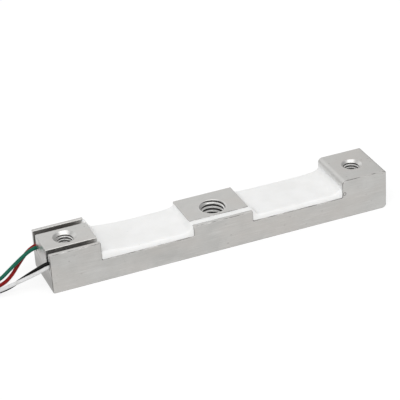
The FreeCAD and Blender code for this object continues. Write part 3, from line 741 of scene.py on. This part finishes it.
# Each wave's height, length and layer of the noise.
POOL_WAVES = ((0.07, 6.0, 3.1), (0.022, 1.7, 8.7))
CLIMB_WAVE = (0.1, 2.2, 1.3)
SLOT_WAVE = (0.03, 3.0, 5.5)
SIDE_WAVE = (0.05, 2.5, 4.4)
SIDE_WAVE_FROM = 1.0
BELOW_SLOT_LEVEL = 0.2
ROUNDING = range(0, 91, 9)  # degrees
STRETCHES = (
    # from, to, and how far apart its lines may be
    (LEAD_FACE + SKIN, LEAD_FACE + 2.0, 0.2),
    (LEAD_FACE + 2.0, CENTRE_LEFT - 2.0, 0.35),
    (CENTRE_LEFT - 2.0, CENTRE_LEFT - SKIN, 0.14),
    (CENTRE_LEFT - SKIN, CENTRE_RIGHT + SKIN, 0.3),
    (CENTRE_RIGHT + SKIN, CENTRE_RIGHT + 2.0, 0.14),
    (CENTRE_RIGHT + 2.0, FAR_FACE - 2.4, 0.35),
    (FAR_FACE - 2.4, FAR_FACE - SKIN, 0.14),
)
SLOT_LINES, MIDDLE_LINES = 0.18, 0.3
SILICONE_SHARP = 60  # degrees


def ripple(x, y, wave):
    """The rise or fall of a smooth random wave at a place."""
    height, length, layer = wave
    return height * noise.noise(Vector((x / length, y / length, layer)))


def quarter_round(share):
    """A rounded shoulder's height, from 0 at its foot to 1 where it is level."""
    share = min(max(share, 0.0), 1.0)
    return math.sqrt(1.0 - (1.0 - share) ** 2)


def silicone_height(x, y):
    """The top of the silicone at a place on the beam, in mm."""
    off_slot = SLOT_MIDDLE - y
    from_plug = math.hypot(x - LEAD_FACE, max(abs(off_slot) - SLOT_HALF, 0.0))
    plug = math.exp(-(from_plug / PLUG_SPREAD) ** 2)
    if x < LEAD_FACE:
        level = POURED_LEVEL + LEAD_RISE - POCKET_FLOOR
        level = POCKET_FLOOR + level * quarter_round((x - LEAD_FACE) / TONGUE + 1.0)
        return level + (PLUG_LEVEL - level) * plug
    level = POURED_LEVEL
    for wave in POOL_WAVES:
        level += ripple(x, y, wave)
    for face, climb, reach in MENISCUS:
        if (x < 0) == (face < 0):
            level += climb * (1.0 + ripple(y, face, CLIMB_WAVE)) * math.exp(-abs(x - face) / reach)
    near = min((x - LEAD_FACE) / LEAD_RUN, 1.0)
    level += LEAD_RISE * (1.0 - near) ** 2 * (1.0 + 2.0 * near)
    edge = SILICONE_SIDE - abs(y)
    level = POCKET_FLOOR + (level - POCKET_FLOOR) * quarter_round(edge / SHOULDER)
    level += (PLUG_LEVEL - level) * plug * quarter_round(edge / SIDE_EASE)
    off_slot = y + SLOT_MIDDLE
    across = min(abs(off_slot) / SLOT_HALF, 1.0)
    slot = SLOT_LEVEL + SLOT_CROWN * (1.0 - across ** 2) + ripple(x, y, SLOT_WAVE)
    away = math.hypot(max(abs(x) - CENTRE_RIGHT, 0.0), max(abs(off_slot) - SLOT_HALF, 0.0))
    share = math.exp(-(away / MOUTH_SPREAD) ** 2) * quarter_round(edge / SIDE_EASE)
    return level + (slot - level) * share


def stations(start, end, step):
    """Evenly spaced places from start to end, no further apart than the step."""
    count = math.ceil(abs(end - start) / step)
    return [start + (end - start) * index / count for index in range(count + 1)]


side_lines = [SILICONE_SIDE - SHOULDER * (1.0 - math.cos(math.radians(angle))) for angle in ROUNDING]
half_lines = sorted(set(side_lines + stations(SLOT_NEAR + SKIN, SLOT_FAR - SKIN, SLOT_LINES)
                        + stations(0.0, SLOT_NEAR + SKIN, MIDDLE_LINES)))
y_lines = [-y for y in reversed(half_lines[1:])] + half_lines
tongue_lines = [LEAD_FACE + SKIN - TONGUE * math.sin(math.radians(angle)) for angle in ROUNDING]
x_lines = sorted(set(tongue_lines + [x for stretch in STRETCHES for x in stations(*stretch)]))

covered = [name for name in nodes if name != "silicone_sealant" and not name.startswith("lead_tip")]
covered_trees = []
for name in covered:
    mesh = nodes[name].data
    covered_trees.append(BVHTree.FromPolygons([v.co for v in mesh.vertices],
                                              [face.vertices for face in mesh.polygons]))


def bed_height(x, y):
    """The top of whatever lies under the silicone at a place on the beam, in mm."""
    above = Vector((x * MM, y * MM, (SLOT_LEVEL - BELOW_SLOT_LEVEL) * MM))
    hits = [tree.ray_cast(above, Vector((0, 0, -1)))[0] for tree in covered_trees]
    return max((hit.z / MM for hit in hits if hit), default=POCKET_FLOOR)


def holds_silicone(x, y):
    """Whether a place is in a pocket, in the centre slot or in the inner end of a lead slot."""
    in_slot = SLOT_NEAR < abs(y) < SLOT_FAR
    if x < LEAD_FACE + SKIN:
        return in_slot
    if abs(x) < CENTRE_RIGHT + SKIN:
        return in_slot and y < 0
    return True


poured = bmesh.new()
corners = {}


def silicone_corner(i, j):
    """The top and the bottom vertex of the silicone at one crossing of the lines."""
    if (i, j) not in corners:
        x, y = x_lines[i], y_lines[j]
        bed = POCKET_FLOOR if x < LEAD_FACE else bed_height(x, y)
        top = max(silicone_height(x, y), bed + SKIN)
        in_pocket = min(max(abs(x) - CENTRE_RIGHT - SIDE_WAVE_FROM, 0.0), 1.0)
        wave = ripple(x, y, SIDE_WAVE) * in_pocket
        y += math.copysign(wave * max(1.0 - (SILICONE_SIDE - abs(y)) / SHOULDER, 0.0), y)
        upper = poured.verts.new((x * MM, y * MM, top * MM))
        thin = top - bed < 2 * SKIN
        lower = upper if thin else poured.verts.new((x * MM, y * MM, (bed + SKIN) * MM))
        corners[i, j] = upper, lower
    return corners[i, j]


edge_uses = {}
for i in range(len(x_lines) - 1):
    for j in range(len(y_lines) - 1):
        if not holds_silicone((x_lines[i] + x_lines[i + 1]) / 2, (y_lines[j] + y_lines[j + 1]) / 2):
            continue
        ring = [(i, j), (i + 1, j), (i + 1, j + 1), (i, j + 1)]
        uppers = [silicone_corner(*spot)[0] for spot in ring]
        lowers = [silicone_corner(*spot)[1] for spot in reversed(ring)]
        poured.faces.new(uppers)
        if set(uppers) != set(lowers):
            poured.faces.new(lowers)
        for a, b in zip(ring, ring[1:] + ring[:1]):
            edge_uses.setdefault(frozenset((a, b)), []).append((a, b))
for uses in edge_uses.values():
    if len(uses) == 1:
        (upper_a, lower_a), (upper_b, lower_b) = (corners[spot] for spot in uses[0])
        rim = list(dict.fromkeys((upper_b, upper_a, lower_a, lower_b)))
        if len(rim) > 2:
            poured.faces.new(rim)
silicone_mesh = bpy.data.meshes.new("silicone")
poured.to_mesh(silicone_mesh)
poured.free()
silicone_mesh.shade_smooth()
silicone_mesh.set_sharp_from_angle(angle=math.radians(SILICONE_SHARP))
silicone = show("silicone", silicone_mesh)


def white_silicone():
    """White rubber with a faint orange peel and a few pinholes."""
    material, tree, shader = finish_of("white_silicone")
    clouds = mottle(tree, place(tree), 0.25, 3.0)
    orange_peel = mottle(tree, place(tree), 1.4, 2.0)
    pinholes = remap(tree, dots(tree, place(tree), 0.45), 0.03, 0.07, 1.0, 0.0)
    colour = tint(tree, remap(tree, clouds, 0.35, 0.7), (0.88, 0.88, 0.875, 1), (0.84, 0.84, 0.83, 1))
    colour = tint(tree, times(tree, pinholes, 0.4), colour, (0.55, 0.55, 0.53, 1))
    feed(tree, shader.inputs["Base Color"], colour)
    feed(tree, shader.inputs["Roughness"], remap(tree, clouds, 0.3, 0.7, 0.38, 0.5))
    shader.inputs["Subsurface Weight"].default_value = 0.15
    shader.inputs["Subsurface Radius"].default_value = (0.8 * MM, 0.75 * MM, 0.7 * MM)
    shader.inputs["Subsurface Scale"].default_value = 1.0
    surface = relief(tree, orange_peel, 0.03, 0.5)
    surface = relief(tree, maths(tree, "SUBTRACT", 1.0, pinholes), 0.03, 0.5, surface)
    feed(tree, shader.inputs["Normal"], surface)
    return material


silicone.data.materials.append(white_silicone())
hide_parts("silicone_sealant")
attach(silicone, "root")


# Stage: a plain pale floor under a white room, lit by one large soft lamp in front and one behind.
# The camera stands in front of the cell, towards its lead end, and looks down on it.

FLOOR_HALF = 3.0  # metres, as all sizes of the stage are
FLOOR_GREY, FLOOR_SEEN_GREY = (0.78, 0.78, 0.78, 1), (0.24, 0.24, 0.24, 1)
FLOOR_GLOW = 0.8
ROOM_LEVEL = 0.45
AIM = Vector((0.48, 8.88, 4.75)) * MM
DISTANCE = 384.03 * MM
HEADING = math.radians(20.57)
LOOK_DOWN = math.radians(29.42)
ROLL = math.radians(-3.658)
SENSOR, FOCAL_LENGTH = 36.0, 152.114  # millimetres


def pale_floor():
    """A matt floor that looks nearly white but lights the cell no more than a pale grey one."""
    material = bpy.data.materials.new("pale_floor")
    material.use_nodes = True
    tree = material.node_tree
    tree.nodes.clear()
    output = tree.nodes.new("ShaderNodeOutputMaterial")
    seen = tree.nodes.new("ShaderNodeLightPath")
    rays = maths(tree, "ADD", seen.outputs["Is Camera Ray"], seen.outputs["Is Glossy Ray"])
    rays = maths(tree, "ADD", rays, seen.outputs["Is Transmission Ray"])
    rays = maths(tree, "MINIMUM", rays, 1.0)
    plain = tree.nodes.new("ShaderNodeBsdfDiffuse")
    plain.inputs["Color"].default_value = FLOOR_GREY
    dim = tree.nodes.new("ShaderNodeBsdfDiffuse")
    dim.inputs["Color"].default_value = FLOOR_SEEN_GREY
    glow = tree.nodes.new("ShaderNodeEmission")
    glow.inputs["Strength"].default_value = FLOOR_GLOW
    bright = tree.nodes.new("ShaderNodeAddShader")
    tree.links.new(dim.outputs[0], bright.inputs[0])
    tree.links.new(glow.outputs[0], bright.inputs[1])
    choice = tree.nodes.new("ShaderNodeMixShader")
    tree.links.new(rays, choice.inputs[0])
    tree.links.new(plain.outputs[0], choice.inputs[1])
    tree.links.new(bright.outputs[0], choice.inputs[2])
    tree.links.new(choice.outputs[0], output.inputs["Surface"])
    return material


floor_mesh = bpy.data.meshes.new("floor")
floor_corners = [(x * FLOOR_HALF, y * FLOOR_HALF, 0.0) for x, y in ((-1, -1), (1, -1), (1, 1), (-1, 1))]
floor_mesh.from_pydata(floor_corners, [], [(0, 1, 2, 3)])
floor = show("floor", floor_mesh)
floor.data.materials.append(pale_floor())

world = bpy.data.worlds.new("studio")
bpy.context.scene.world = world
world.use_nodes = True
sky = world.node_tree
backdrop = sky.nodes["Background"]
paths = sky.nodes.new("ShaderNodeLightPath")
backdrop.inputs["Color"].default_value = (1, 1, 1, 1)
feed(sky, backdrop.inputs["Strength"], remap(sky, paths.outputs["Is Camera Ray"], 0, 1, ROOM_LEVEL, 1.0))


def soft_box(name, spot, size, power):
    """A large soft lamp at that spot, turned to the cell."""
    lamp = bpy.data.lights.new(name, "AREA")
    lamp.shape = "RECTANGLE"
    lamp.size, lamp.size_y = size
    lamp.energy = power
    box = show(name, lamp)
    box.location = spot
    box.rotation_euler = (-Vector(spot)).to_track_quat("-Z", "Y").to_euler()


soft_box("front_box", (-0.1, -0.45, 0.5), (1.1, 0.6), 3.9)
soft_box("back_box", (-0.15, 0.7, 0.45), (1.5, 0.8), 2.7)

ahead = Vector((math.sin(HEADING) * math.cos(LOOK_DOWN), math.cos(HEADING) * math.cos(LOOK_DOWN),
                -math.sin(LOOK_DOWN)))
lens = bpy.data.cameras.new("camera")
lens.sensor_width = SENSOR
lens.lens = FOCAL_LENGTH
lens.clip_start = 0.01
camera = show("camera", lens)
camera.location = AIM - DISTANCE * ahead
camera.rotation_mode = "QUATERNION"
camera.rotation_quaternion = ahead.to_track_quat("-Z", "Y") @ Quaternion((0, 0, 1), ROLL)
bpy.context.scene.camera = camera

bpy.context.scene.view_settings.view_transform = "Standard"
